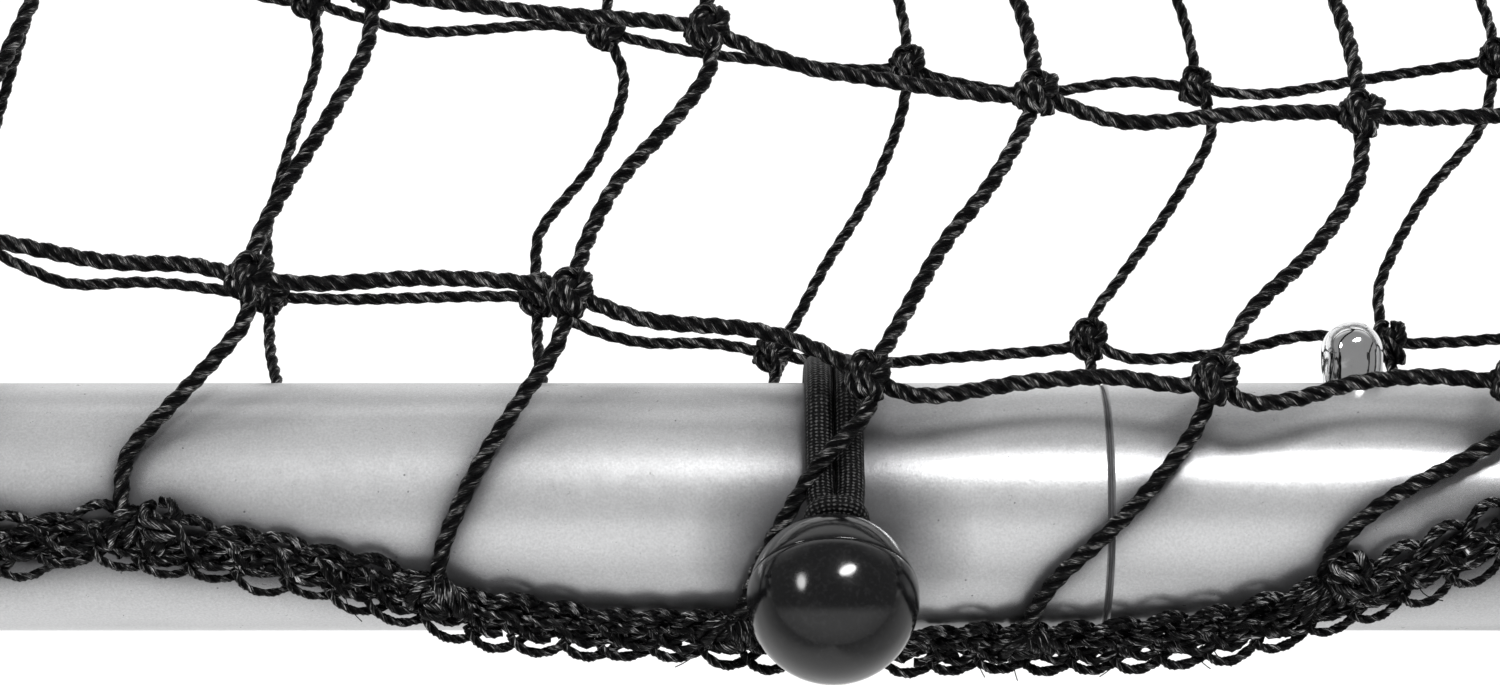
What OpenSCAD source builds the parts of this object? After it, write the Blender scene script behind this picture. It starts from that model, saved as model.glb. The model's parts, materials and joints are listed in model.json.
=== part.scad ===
// Roundnet set: a ten-sided rim of bent steel tube on five folding legs, with a
// knotted net in two layers that ball bungees hold to the rim.
// Frame: Z up, origin on the ground under the middle of the rim. The front side
// of the rim faces -Y. Sides are counted anticlockwise from the front, from 0 to 9.
// Even sides hold a tube joint with its snap button, and odd sides hold a leg.

/* [Rim] */
// Diameter of the circle through the rim's corners, on the tube's centre line
rim_d = 900; // [820:5:1100]
// Outside diameter of the rim tube
tube_d = 38.1; // [34:0.1:42]
// Wall of the rim tube
tube_wall = 1.5; // [1.2:0.1:2]
// Centre line radius of each bend in the rim tube
bend_r = 60; // [50:1:80]
// Height of the rim tube's centre line above the ground
rim_z = 174.5; // [165:0.5:230]

/* [Tube joints] */
// Distance of the seam from the middle of its side
seam_x = 54; // [46:0.5:56]
// Length of the swaged spigot inside the next tube
spigot_len = 58; // [54:0.5:60]
// Length over which the tube narrows to the spigot
swage_len = 8; // [6:0.5:12]
// Clearance all round the spigot
spigot_gap = 0.2; // [0.1:0.05:0.4]
// Chamfer on the tube ends that meet at the seam
end_chamfer = 0.6; // [0.3:0.1:0.9]

/* [Snap buttons] */
// Distance of the button from the seam
button_from_seam = 38.7; // [30:0.1:42]
// Angle of the button above the horizontal, towards the middle of the net
button_tilt = 30; // [15:1:60]
// Diameter of the button
button_d = 9.5; // [8:0.1:10]
// Height of the button above the tube
button_rise = 9.5; // [7:0.1:10]
// Clearance all round the button in its holes
button_gap = 0.15; // [0.1:0.05:0.3]
// Width of the flange that stops the button, beyond the button's edge
flange_lip = 1.45; // [1:0.05:1.8]
// Thickness of that flange
flange_t = 1.2; // [0.8:0.1:1.6]
// Width of the spring leaf under the button
leaf_w = 8; // [6:0.5:9]
// Thickness of the spring leaf
leaf_t = 0.8; // [0.5:0.1:1]
// Reach of the spring leaf from the button to its fold
leaf_reach = 32; // [24:0.5:34]

/* [Legs] */
// Outside diameter of a leg tube
leg_d = 25.4; // [22:0.1:26]
// Wall of a leg tube
leg_wall = 1.5; // [1:0.1:2]
// Outward lean of a leg that stands
splay = 9.5; // [6:0.5:12]
// Distance of the leg pivot below the rim tube
pivot_drop = 27; // [22:0.5:30]
// Distance of the leg pivot outwards from the rim tube's centre line
pivot_out = 3.5; // [2:0.5:4]
// Height of leg tube above its pivot
leg_above = 9; // [8:0.5:10]
// Clearance between a leg tube and its bracket
leg_play = 0.3; // [0.3:0.05:0.5]
// Sheet thickness of a leg bracket
bracket_wall = 2.5; // [2:0.1:3]
// Height of bracket below the leg pivot
bracket_below = 24; // [20:0.5:30]
// Depth of a bracket cheek inwards of the leg pivot
cheek_in = 12; // [10:0.5:12.5]
// Chamfer on the lower inner corner of a cheek
cheek_chamfer = 10; // [4:0.5:12]
// Clearance between the leg's top corner and the bracket's web
web_play = 0.8; // [0.5:0.1:1.5]

/* [Pivot bolts] */
// Diameter of a pivot bolt
bolt_d = 8; // [6:0.5:8]
// Clearance all round a bolt in its leg tube
bolt_play = 0.08; // [0.05:0.01:0.1]
// Clearance all round a bolt in its bracket
bolt_seat_gap = 0.05; // [0.02:0.01:0.1]
// Width of bolt head and nut across their corners
hex_d = 15; // [13:0.1:16]
// Height of a bolt head
head_h = 5.3; // [4:0.1:6]
// Height of a nut
nut_h = 6.5; // [5:0.1:8]
// Length of bolt beyond its nut
bolt_tail = 1.5; // [1:0.5:3]

/* [Feet] */
// Diameter of a foot's sole
foot_d = 34; // [30:0.5:38]
// Diameter of a foot at its top
foot_top_d = 29.6; // [29:0.1:31]
// Height of a foot
foot_h = 34; // [24:0.5:40]
// Height of the wide sole
sole_h = 8; // [6:0.5:12]
// Rubber under the end of the leg tube
foot_floor = 8; // [6:0.5:10]
// Clearance all round the leg tube in its foot
foot_gap = 0.05; // [0.02:0.01:0.1]

/* [Net] */
// Distance from one knot of the net to the next
mesh_bar = 48; // [44:0.5:52]
// Thickness of the net's twine
twine_d = 2.4; // [1.8:0.1:2.8]
// Width across a knot's flats
knot_w = 7; // [5:0.1:8]
// Place of an upper twine row, to the right of the middle
upper_shift_x = 19; // [17:0.5:21]
// Place of an upper twine row, behind the middle
upper_shift_y = 18; // [16:0.5:20]
// Place of a lower twine row, to the right of the middle
lower_shift_x = 10; // [8:0.5:12]
// Place of a lower twine row, behind the middle
lower_shift_y = 3; // [1:0.5:5]
// Clearance between the bungees on the rim and the upper layer
upper_clear = 0.6; // [0.4:0.1:2]
// Overhang of the upper layer outwards of the rim tube's centre line
upper_out = 14; // [12:0.5:15]
// Distance of the lower layer below the rim tube's centre line
lower_drop = 20; // [18:0.5:22]
// Distance of the lower layer's border inwards of the rim tube's centre line
lower_in = 31; // [30:0.5:34]

/* [Edge bands] */
// Width of a knitted edge band
band_w = 8; // [6:0.5:9]
// Thickness of a knitted edge band
band_t = 3; // [2:0.1:3.5]
// Clearance between an edge band and the rim tube
band_gap = 0.3; // [0.25:0.05:0.5]
// Height of the upper layer's band above the rim tube's centre line
upper_band_z = 4; // [2:0.5:6]
// Distance of the lower layer's band below the rim tube's centre line
lower_band_z = 8; // [6:0.5:9]

/* [Ball bungees] */
// Diameter of a ball
ball_d = 25; // [22:0.5:26]
// Thickness of the elastic cord
cord_d = 4.4; // [4:0.1:4.8]
// Clearance between the cord and what it wraps
cord_gap = 0.2; // [0.1:0.05:0.4]
// Gap between the two strands of a loop
strand_gap = 0.2; // [0:0.1:0.6]
// Clearance between a ball and the cord that it rests on
ball_gap = 0.3; // [0.2:0.1:1]
// Angle of a ball above the rim's outer side
ball_angle = 43; // [36:1:46]
// Place of the ball bungee on a side with a tube joint
joint_bungee_x = 12; // [6:0.5:14]
// Distance of each ball bungee from the leg, on a side with a leg
leg_bungee_x = 80; // [76:1:86]
// Diameter of the cord's neck in its ball
neck_d = 6; // [5:0.1:8]
// Clearance all round the neck in its ball
neck_gap = 0.1; // [0.05:0.05:0.2]
// Depth of the hole in a ball for the neck
neck_depth = 9; // [5:0.5:11]
// Clearance between the neck's end and the bottom of that hole
neck_end_gap = 1; // [0.2:0.1:2]

/* [Hidden] */
$fn = 48;
SIDES = 10;
SECTIONS = SIDES / 2;
side_turn = 360 / SIDES;
eps = 0.01;
far = 60;

tube_r = tube_d / 2;
tube_ri = tube_r - tube_wall;
spigot_r = tube_ri - spigot_gap;
spigot_ri = spigot_r - tube_wall;
apothem = rim_d / 2 * cos(side_turn / 2);
side_len = rim_d * sin(side_turn / 2);
straight = side_len - 2 * bend_r * tan(side_turn / 2);

button_x = seam_x + button_from_seam;
button_r = button_d / 2;
flange_r = button_r + flange_lip;
flange_slack = 0.15;
flange_top = sqrt(pow(spigot_ri, 2) - pow(flange_r, 2)) - flange_slack;
leaf_seat = sqrt(pow(spigot_ri, 2) - pow(leaf_w / 2, 2));

leg_r = leg_d / 2;
bolt_r = bolt_d / 2;
pivot_z = rim_z - tube_r - pivot_drop;
leg_reach = pivot_z / cos(splay);
leg_below = leg_reach - foot_floor;
cheek_x = leg_r + leg_play;
web_y = leg_r + leg_play;
web_top = -sqrt(pow(leg_r, 2) + pow(leg_above, 2) - pow(web_y, 2)) - web_play;
bracket_out = web_y + bracket_wall;
bracket_x = cheek_x + bracket_wall;

cord_r = cord_d / 2;
ball_r = ball_d / 2;
ring_r = tube_r + band_gap + band_t + cord_gap + cord_r;
ball_dist = ring_r + cord_r + ball_gap + ball_r;
strand_z = cord_r + strand_gap / 2;

upper_z = rim_z + ring_r + cord_r + upper_clear + twine_d / 2;
lower_z = rim_z - lower_drop;
band_near = tube_r + band_gap;
band_r = band_near + band_t / 2;
BEND_STEPS = 5;
tie_d = twine_d;
joint_ties = [-105, -62, -20, 50, 105];
leg_ties = [-105, -42, 0, 42, 105];

silver = "silver";
chrome = "gainsboro";
black = "#1c1c1e";

function numbered(name) = [for (j = [1:SECTIONS]) str(name, "_", j)];

// ---- Places ----

// X along side k, Y towards the middle, Z up, from the middle of the side on the
// tube's centre line.
module on_side(k) {
    rotate([0, 0, side_turn * k]) translate([0, -apothem, rim_z]) children();
}

// Z along a standing leg, upwards, with the origin on the leg's pivot.
module on_leg(j) {
    on_side(2 * j + 1)
        translate([0, -pivot_out, -tube_r - pivot_drop])
            rotate([-splay, 0, 0]) children();
}

// Z along a snap button's travel, outwards, from the tube's centre line.
module on_button() {
    translate([button_x, 0, 0]) rotate([button_tilt - 90, 0, 0]) children();
}

// X outwards from the tube's centre line and Y up, with Z along the tube.
module around_tube(turn) {
    rotate([90, 0, -90]) rotate([0, 0, turn]) children();
}

// Every ball bungee, at its place on its side.
module at_bungees() {
    for (j = [0:SECTIONS - 1]) {
        on_side(2 * j) translate([joint_bungee_x, 0, 0]) children();
        for (s = [-1, 1])
            on_side(2 * j + 1) translate([s * leg_bungee_x, 0, 0]) children();
    }
}

// ---- Shapes that repeat ----

module along_x(x0, x1) {
    translate([x0, 0, 0]) rotate([90, 0, 90]) linear_extrude(x1 - x0) children();
}

module tube_profile() {
    difference() {
        circle(tube_r);
        circle(tube_ri);
    }
}

module turned_about_x() {
    rotate([0, 90, 0]) rotate_extrude() children();
}

// Children's outline, whose X is outwards and Y up, run round the bend that ends a side.
module corner() {
    translate([straight / 2, bend_r, 0]) rotate([0, 0, -90])
        rotate_extrude(angle = side_turn) translate([bend_r, 0]) children();
}

module rod(from, to, d) {
    run = to - from;
    translate([0, from[0], from[1]])
        rotate([-atan2(run[0], run[1]), 0, 0]) cylinder(d = d, h = norm(run));
}

module strip(from, to) {
    run = to - from;
    translate(from) rotate(atan2(run[1], run[0]))
        translate([0, -leaf_t / 2]) square([norm(run), leaf_t]);
    translate(to) circle(d = leaf_t);
}

module hex_prism(h) {
    rotate([0, 90, 0]) cylinder(d = hex_d, h = h, $fn = 6);
}

module decagon(a) {
    circle(r = a / cos(side_turn / 2), $fn = SIDES);
}

// The rim's centre line moved outwards, with its bends in short straight steps.
module beside_rim(out) {
    middle = (apothem - bend_r) / cos(side_turn / 2);
    r = bend_r + out;
    polygon([
        for (k = [0:SIDES - 1], i = [0:BEND_STEPS])
            let (a = side_turn * (k + 0.5) - 90, b = side_turn * (k + i / BEND_STEPS) - 90)
                middle * [cos(a), sin(a)] + r * [cos(b), sin(b)]]);
}

// ---- Rim ----

module plain_end() {
    turned_about_x()
        polygon([
            [tube_ri, seam_x], [tube_r - end_chamfer, seam_x],
            [tube_r, seam_x + end_chamfer], [tube_r, seam_x + swage_len],
            [tube_ri, seam_x + swage_len]]);
    along_x(seam_x + swage_len, straight / 2) tube_profile();
}

module swaged_end() {
    tip = seam_x + spigot_len;
    along_x(-straight / 2, seam_x - swage_len) tube_profile();
    turned_about_x()
        polygon([
            [tube_ri, seam_x - swage_len], [tube_r, seam_x - swage_len],
            [tube_r, seam_x - end_chamfer], [tube_r - end_chamfer, seam_x],
            [spigot_r, seam_x], [spigot_r, tip - end_chamfer],
            [spigot_r - end_chamfer, tip], [spigot_ri, tip],
            [spigot_ri, seam_x]]);
}

module button_hole() {
    on_button() cylinder(r = button_r + button_gap, h = far);
}

module rim_section(j) {
    color(silver) difference() {
        union() {
            on_side(2 * j) plain_end();
            on_side(2 * j) corner() tube_profile();
            on_side(2 * j + 1) along_x(-straight / 2, straight / 2) tube_profile();
            on_side(2 * j + 1) corner() tube_profile();
            on_side(2 * j + 2) swaged_end();
        }
        on_side(2 * j) button_hole();
        on_side(2 * j + 2) button_hole();
    }
}

// ---- Snap buttons ----

module snap_button(j) {
    color(chrome) on_side(2 * j) on_button() rotate_extrude() {
        translate([0, flange_top - flange_t]) square([flange_r, flange_t]);
        translate([0, flange_top - eps])
            square([button_r, tube_r + button_rise - button_r - flange_top + eps]);
        intersection() {
            translate([0, tube_r + button_rise - button_r]) circle(button_r);
            translate([0, tube_r + button_rise - button_r]) square(button_r);
        }
    }
}

module button_spring(j) {
    seat = [button_r, -leaf_seat + leaf_t / 2];
    fold = [-leaf_reach, -leaf_seat + leaf_t / 2];
    rise = flange_top - flange_t - leaf_t / 2;
    color(chrome) on_side(2 * j) on_button() rotate([90, 0, 0])
        linear_extrude(leaf_w, center = true) {
            strip(seat, fold);
            strip(fold, [-flange_r, rise]);
            strip([-flange_r, rise], [button_r, rise]);
        }
}

// ---- Legs ----

module leg_bracket(j) {
    cheek = [
        [-bracket_out, -bracket_below], [cheek_in - cheek_chamfer, -bracket_below],
        [cheek_in, cheek_chamfer - bracket_below], [cheek_in, far],
        [-bracket_out, far]];
    color(silver) difference() {
        on_leg(j) {
            for (x = [-bracket_x, cheek_x])
                along_x(x, x + bracket_wall) polygon(cheek);
            translate([-bracket_x, -bracket_out, -bracket_below])
                cube([2 * bracket_x, bracket_wall, web_top + bracket_below]);
        }
        on_leg(j) rotate([0, 90, 0])
            cylinder(r = bolt_r + bolt_seat_gap, h = far, center = true);
        on_side(2 * j + 1) {
            along_x(-far, far) circle(tube_r);
            translate([-far, -far, 0]) cube(2 * far);
        }
    }
}

module leg_tube(j) {
    color(silver) on_leg(j) difference() {
        translate([0, 0, -leg_below]) cylinder(r = leg_r, h = leg_below + leg_above);
        translate([0, 0, -leg_below - 1])
            cylinder(r = leg_r - leg_wall, h = leg_below + leg_above + 2);
        rotate([0, 90, 0]) cylinder(r = bolt_r + bolt_play, h = far, center = true);
    }
}

module leg_foot(j) {
    spare = foot_d / 2 * tan(splay) + 1;
    color(black) difference() {
        on_leg(j) translate([0, 0, -leg_reach]) difference() {
            union() {
                translate([0, 0, -spare]) cylinder(d = foot_d, h = sole_h + spare);
                cylinder(d = foot_top_d, h = foot_h);
            }
            translate([0, 0, foot_floor]) cylinder(r = leg_r + foot_gap, h = foot_h);
        }
        translate([0, 0, -far]) linear_extrude(far) decagon(rim_d);
    }
}

module pivot_bolts() {
    grip = 2 * bracket_x + nut_h + bolt_tail;
    color(chrome) for (j = [0:SECTIONS - 1])
        on_leg(j) translate([-bracket_x, 0, 0]) {
            rotate([0, 90, 0]) cylinder(r = bolt_r, h = grip);
            translate([-head_h, 0, 0]) hex_prism(head_h);
        }
}

module pivot_nuts() {
    color(chrome) for (j = [0:SECTIONS - 1])
        on_leg(j) translate([bracket_x, 0, 0]) difference() {
            hex_prism(nut_h);
            translate([-1, 0, 0]) rotate([0, 90, 0])
                cylinder(r = bolt_r + bolt_seat_gap, h = far);
        }
}

// ---- Net ----

// One gap between four knots, with its corners taken by the knots.
module net_gap_outline() {
    w = mesh_bar - twine_d;
    cut = (knot_w * sqrt(2) - twine_d) / 2;
    a = w / 2;
    polygon([
        [cut - a, -a], [a - cut, -a], [a, cut - a], [a, a - cut],
        [a - cut, a], [cut - a, a], [-a, a - cut], [-a, cut - a]]);
}

// A layer whose border is a from the middle, with its rows moved by shift.
module net_layer(a, z, shift) {
    n = ceil(a / mesh_bar) + 1;
    reach = a / cos(side_turn / 2) + mesh_bar * 0.6;
    translate([0, 0, z - twine_d / 2]) linear_extrude(twine_d) difference() {
        decagon(a);
        intersection() {
            decagon(a - twine_d);
            for (i = [-n:n], k = [-n:n]) {
                at = shift + [i + 0.5, k + 0.5] * mesh_bar;
                if (norm(at) < reach)
                    translate(at) net_gap_outline();
            }
        }
    }
}

module net_upper() {
    color(black) net_layer(apothem + upper_out, upper_z, [upper_shift_x, upper_shift_y]);
}

module net_lower() {
    color(black) net_layer(apothem - lower_in, lower_z, [lower_shift_x, lower_shift_y]);
}

// ---- Edge bands, with the twines that tie them to their layer ----

// The space that the bungees' cords press into the bands that they hold.
module cord_grooves() {
    width = 2 * (strand_z + cord_r + cord_gap);
    at_bungees() rotate([0, 90, 0]) difference() {
        cylinder(r = ring_r + cord_r + cord_gap, h = width, center = true);
        cylinder(r = ring_r - cord_r - cord_gap / 2, h = 2 * width, center = true);
    }
}

module band(near, z) {
    difference() {
        translate([0, 0, rim_z + z - band_w / 2]) linear_extrude(band_w) difference() {
            beside_rim(near + band_t);
            beside_rim(near);
        }
        cord_grooves();
    }
}

module ties(from, to) {
    for (k = [0:SIDES - 1])
        for (x = k % 2 == 0 ? joint_ties : leg_ties)
            on_side(k) translate([x, 0, 0]) rod(from, to, tie_d);
}

module edge_band_upper() {
    color(black) {
        band(band_near, upper_band_z);
        ties([-band_r, upper_band_z + band_w / 4],
            [twine_d / 2 - upper_out, upper_z - rim_z]);
    }
}

module edge_band_lower() {
    color(black) {
        band(-band_near - band_t, -lower_band_z);
        ties([band_r, -lower_band_z], [lower_in + twine_d / 2, -lower_drop]);
    }
}

// ---- Ball bungees ----

// A loop of two strands round the tube, with its ends drawn together into the ball.
module bungee_cord() {
    neck_tip = ball_dist - ball_r + neck_depth - neck_end_gap;
    for (s = [-1, 1])
        around_tube(0) translate([0, 0, s * strand_z])
            rotate_extrude() translate([ring_r, 0]) circle(cord_r);
    around_tube(ball_angle) translate([ring_r, 0, 0])
        rotate([0, 90, 0]) cylinder(d = neck_d, h = neck_tip - ring_r);
}

module bungee_ball() {
    around_tube(ball_angle) translate([ball_dist, 0, 0]) difference() {
        sphere(ball_r);
        translate([-2 * ball_r, 0, 0]) rotate([0, 90, 0])
            cylinder(d = neck_d + 2 * neck_gap, h = ball_r + neck_depth);
    }
}

module bungee_cords() {
    color(black) at_bungees() bungee_cord();
}

module bungee_balls() {
    color(black) at_bungees() bungee_ball();
}

// ---- Nodes ----

for (j = [0:SECTIONS - 1]) {
    rim_section(j);
    snap_button(j);
    button_spring(j);
    leg_bracket(j);
    leg_tube(j);
    leg_foot(j);
}
pivot_bolts();
pivot_nuts();
net_upper();
net_lower();
edge_band_upper();
edge_band_lower();
bungee_cords();
bungee_balls();
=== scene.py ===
"""Roundnet set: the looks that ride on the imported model.

Lengths are in millimetres until a mesh is made. The rim's ten sides are counted
anticlockwise from the front one, 0, which faces -Y. A place beside the rim is told
by an angle round the rim, 0 at the middle of the front side, by how far out it is
from the tube's centre line, and by its height above that line.
"""
import json
import math
import random

import bmesh
import bpy
from mathutils import Matrix, Vector
from mathutils.geometry import interpolate_bezier


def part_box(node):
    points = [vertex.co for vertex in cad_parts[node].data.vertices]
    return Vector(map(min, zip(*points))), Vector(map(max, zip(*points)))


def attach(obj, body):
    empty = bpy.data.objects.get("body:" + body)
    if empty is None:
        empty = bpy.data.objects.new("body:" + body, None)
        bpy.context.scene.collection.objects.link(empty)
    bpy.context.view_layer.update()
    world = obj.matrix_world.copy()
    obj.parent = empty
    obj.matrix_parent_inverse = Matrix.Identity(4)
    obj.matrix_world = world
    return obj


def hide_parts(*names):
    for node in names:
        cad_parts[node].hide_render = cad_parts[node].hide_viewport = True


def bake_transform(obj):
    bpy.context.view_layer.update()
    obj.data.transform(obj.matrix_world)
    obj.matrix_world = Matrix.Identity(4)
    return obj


MM = 0.001
# Corners closer than this are merged
MERGE = 1e-4
random.seed(7)

# ---- Camera ----

FOCUS = Vector((0, -406.1, 187.15))
CAMERA_REACH = 600
CAMERA_RISE = math.radians(60)
LENS = 93.5

scene = bpy.context.scene
camera = bpy.data.objects.new("camera", bpy.data.cameras.new("camera"))
camera.data.lens = LENS
camera.data.clip_start = 0.02
camera.data.clip_end = 60
camera.rotation_euler = (math.pi / 2 - CAMERA_RISE, 0, 0)
camera.location = MM * (
    FOCUS + CAMERA_REACH * Vector((0, -math.cos(CAMERA_RISE), math.sin(CAMERA_RISE)))
)
scene.collection.objects.link(camera)
scene.camera = camera

# ---- Frame ----

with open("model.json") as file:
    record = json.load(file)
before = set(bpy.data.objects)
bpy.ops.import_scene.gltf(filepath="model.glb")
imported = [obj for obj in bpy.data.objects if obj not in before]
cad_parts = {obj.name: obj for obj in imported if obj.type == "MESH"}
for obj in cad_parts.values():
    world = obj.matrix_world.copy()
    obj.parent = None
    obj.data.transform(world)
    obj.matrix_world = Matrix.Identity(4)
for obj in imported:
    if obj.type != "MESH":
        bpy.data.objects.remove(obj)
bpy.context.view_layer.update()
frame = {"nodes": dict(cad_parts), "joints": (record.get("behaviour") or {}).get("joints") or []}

# The rim's centre line: how far from the middle two sides' lines cross, how far away a
# side's own middle is, and its bends
SIDES = 10
TURN = 2 * math.pi / SIDES
CORNER_REACH = 450
APOTHEM = CORNER_REACH * math.cos(TURN / 2)
BEND_R = 60
HALF_STRAIGHT = (APOTHEM - BEND_R) * math.tan(TURN / 2)
tube_low, tube_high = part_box("rim_section_1")
RIM_Z = (tube_low.z + tube_high.z) / 2 / MM
TUBE_R = (tube_high.z - tube_low.z) / 2 / MM
UPPER_Z = sum(corner.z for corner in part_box("net_upper")) / 2 / MM - RIM_Z
LOWER_Z = sum(corner.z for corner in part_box("net_lower")) / 2 / MM - RIM_Z


def rim_reach(angle, out):
    """How far the rim's centre line, moved outwards, is from the middle."""
    a = abs((angle + TURN / 2) % TURN - TURN / 2)
    if (APOTHEM + out) * math.tan(a) <= HALF_STRAIGHT:
        return (APOTHEM + out) / math.cos(a)
    middle = (APOTHEM - BEND_R) / math.cos(TURN / 2)
    b = TURN / 2 - a
    return middle * math.cos(b) + math.sqrt(
        (BEND_R + out) ** 2 - (middle * math.sin(b)) ** 2
    )


def by_rim(angle, out, up):
    """The point at a place beside the rim."""
    reach = rim_reach(angle, out)
    return Vector((reach * math.sin(angle), -reach * math.cos(angle), RIM_Z + up))


def angle_of(p):
    """A point's angle round the rim."""
    return math.atan2(p.x, -p.y)


def out_of(p):
    """How far out from the rim's centre line a point is, seen from above."""
    return p.xy.length - rim_reach(angle_of(p), 0)


# ---- Paths ----

# How far an easy curve keeps its way at each end, as a share of the distance
EASY = 0.42


def ease(share):
    """From 0 to 1, slowly at both ends."""
    return share * share * (3 - 2 * share)


def even(points, step):
    """Points at equal steps along a run of points."""
    lengths = [0.0]
    for a, b in zip(points, points[1:]):
        lengths.append(lengths[-1] + (b - a).length)
    count = max(2, round(lengths[-1] / step))
    spaced = []
    i = 0
    for k in range(count + 1):
        at = lengths[-1] * k / count
        while i < len(points) - 2 and lengths[i + 1] < at:
            i += 1
        share = (at - lengths[i]) / max(lengths[i + 1] - lengths[i], 1e-9)
        spaced.append(points[i].lerp(points[i + 1], share))
    return spaced


def smooth(points, step):
    """Points at equal steps along a smooth curve through the given ones."""
    run = [2 * points[0] - points[1], *points, 2 * points[-1] - points[-2]]
    dense = []
    for a, b, c, d in zip(run, run[1:], run[2:], run[3:]):
        dense += interpolate_bezier(b, b + (c - a) / 6, c - (d - b) / 6, c, 16)[:-1]
    return even([*dense, points[-1]], step)


def eased(a, b, way_a, way_b, step):
    """Points from a to b on a curve that leaves along way_a and comes in along way_b."""
    reach = (b - a).length * EASY
    dense = interpolate_bezier(a, a + way_a * reach, b - way_b * reach, b, 32)
    return even(dense, step)


# ---- Sections that are drawn along a path ----


SECTIONS = []


def section(name, points):
    """A closed outline that paths are drawn with, taken away at the end."""
    curve = bpy.data.curves.new(name, "CURVE")
    spline = curve.splines.new("POLY")
    spline.points.add(len(points) - 1)
    for point, (x, y) in zip(spline.points, points):
        point.co = (x * MM, y * MM, 0, 1)
    spline.use_cyclic_u = True
    made = bpy.data.objects.new(name, curve)
    scene.collection.objects.link(made)
    SECTIONS.append(made)
    return made


def lobed(name, radius, count, lobes=1, groove=0.0):
    """A round section, with lobes where it is of twisted twine, one for each strand."""
    ring = []
    for i in range(count):
        a = 2 * math.pi * i / count
        r = radius * (1 - groove + groove * abs(math.cos(lobes * a / 2)))
        ring.append((r * math.cos(a), r * math.sin(a)))
    return section(name, ring)


def drawn(paths, shape, pitch=None, taper=None):
    """A bmesh with the shape drawn along each path, turned once every pitch.

    Its UV map runs round the shape from 0 to 1, and along it in millimetres.
    """
    made = []
    for path in paths:
        curve = bpy.data.curves.new("path", "CURVE")
        curve.dimensions = "3D"
        curve.bevel_mode = "OBJECT"
        curve.bevel_object = shape
        curve.use_fill_caps = True
        spline = curve.splines.new("POLY")
        spline.points.add(len(path) - 1)
        length = 0.0
        for i, (point, place) in enumerate(zip(spline.points, path)):
            length += (place - path[i - 1]).length if i else 0.0
            point.co = (*(place * MM), 1)
            point.tilt = 2 * math.pi * length / pitch if pitch else 0.0
            point.radius = taper(i / (len(path) - 1)) if taper else 1.0
        piece = bpy.data.objects.new("path", curve)
        scene.collection.objects.link(piece)
        made.append((piece, length))
    depsgraph = bpy.context.evaluated_depsgraph_get()
    depsgraph.update()
    whole = bmesh.new()
    for piece, length in made:
        mesh = bpy.data.meshes.new_from_object(piece.evaluated_get(depsgraph))
        for loop in mesh.uv_layers[0].data:
            along, around = loop.uv
            loop.uv = (around, along * length)
        whole.from_mesh(mesh)
        bpy.data.meshes.remove(mesh)
        bpy.data.curves.remove(piece.data)
    bmesh.ops.remove_doubles(whole, verts=whole.verts, dist=MERGE * MM)
    bmesh.ops.recalc_face_normals(whole, faces=whole.faces)
    return whole


def joined(*parts):
    """One bmesh from several."""
    whole = parts[0]
    for part in parts[1:]:
        mesh = bpy.data.meshes.new("part")
        part.to_mesh(mesh)
        part.free()
        whole.from_mesh(mesh)
        bpy.data.meshes.remove(mesh)
    return whole


def turned(bm, outline, axis, steps):
    """Turn an outline's vertices and edges all the way round an axis."""
    bmesh.ops.spin(
        bm, geom=outline, cent=(0, 0, 0), axis=axis,
        angle=2 * math.pi, steps=steps, use_merge=True,
    )
    bmesh.ops.remove_doubles(bm, verts=bm.verts, dist=MERGE)
    return bm


def put(bm, place):
    """Move a shape in millimetres to its place in metres."""
    bmesh.ops.transform(bm, verts=bm.verts, matrix=Matrix.Scale(MM, 4) @ place)
    bmesh.ops.recalc_face_normals(bm, faces=bm.faces)
    return bm


def piece_from(bm, name, material):
    """A piece that rides on the rim, with its finish."""
    mesh = bpy.data.meshes.new(name)
    for face in bm.faces:
        face.smooth = True
    bm.to_mesh(mesh)
    bm.free()
    piece = bpy.data.objects.new(name, mesh)
    scene.collection.objects.link(piece)
    mesh.materials.append(material)
    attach(piece, "rim")
    return piece


# ---- Materials ----


class Nodes:
    """Short calls that add nodes to a tree and join them."""

    def __init__(self, tree):
        self.tree = tree

    def give(self, value, socket):
        """Link an output to a socket, or set the socket to a number or a colour."""
        if isinstance(value, bpy.types.NodeSocket):
            self.tree.links.new(value, socket)
        else:
            socket.default_value = value

    def add(self, kind, **settings):
        """A shader node, with its settings and what goes into its sockets."""
        node = self.tree.nodes.new("ShaderNode" + kind)
        for key, value in settings.items():
            if hasattr(node, key):
                setattr(node, key, value)
            else:
                self.give(value, node.inputs[key.replace("_", " ")])
        return node

    def noise(self, vector, scale, detail=2.0, roughness=0.5):
        node = self.add("TexNoise", Vector=vector, Scale=scale, Detail=detail, Roughness=roughness)
        return node.outputs["Fac"]

    def ramp(self, factor, *stops):
        node = self.add("ValToRGB", Fac=factor)
        elements = node.color_ramp.elements
        while len(elements) < len(stops):
            elements.new(0.5)
        for element, (position, colour) in zip(elements, stops):
            element.position = position
            element.color = (*colour, 1) if isinstance(colour, tuple) else (colour,) * 3 + (1,)
        return node.outputs["Color"]

    def mix(self, factor, a, b):
        return self.add("Mix", data_type="RGBA", Factor=factor, A=a, B=b).outputs["Result"]

    def fade(self, value, start, end, low=0.0, high=1.0):
        """low up to start, high past end, and evenly from one to the other between."""
        node = self.add(
            "MapRange", Value=value, From_Min=start, From_Max=end, To_Min=low, To_Max=high
        )
        return node.outputs["Result"]

    def math(self, operation, a, b=0.0):
        node = self.add("Math", operation=operation)
        self.give(a, node.inputs[0])
        self.give(b, node.inputs[1])
        return node.outputs["Value"]


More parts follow.
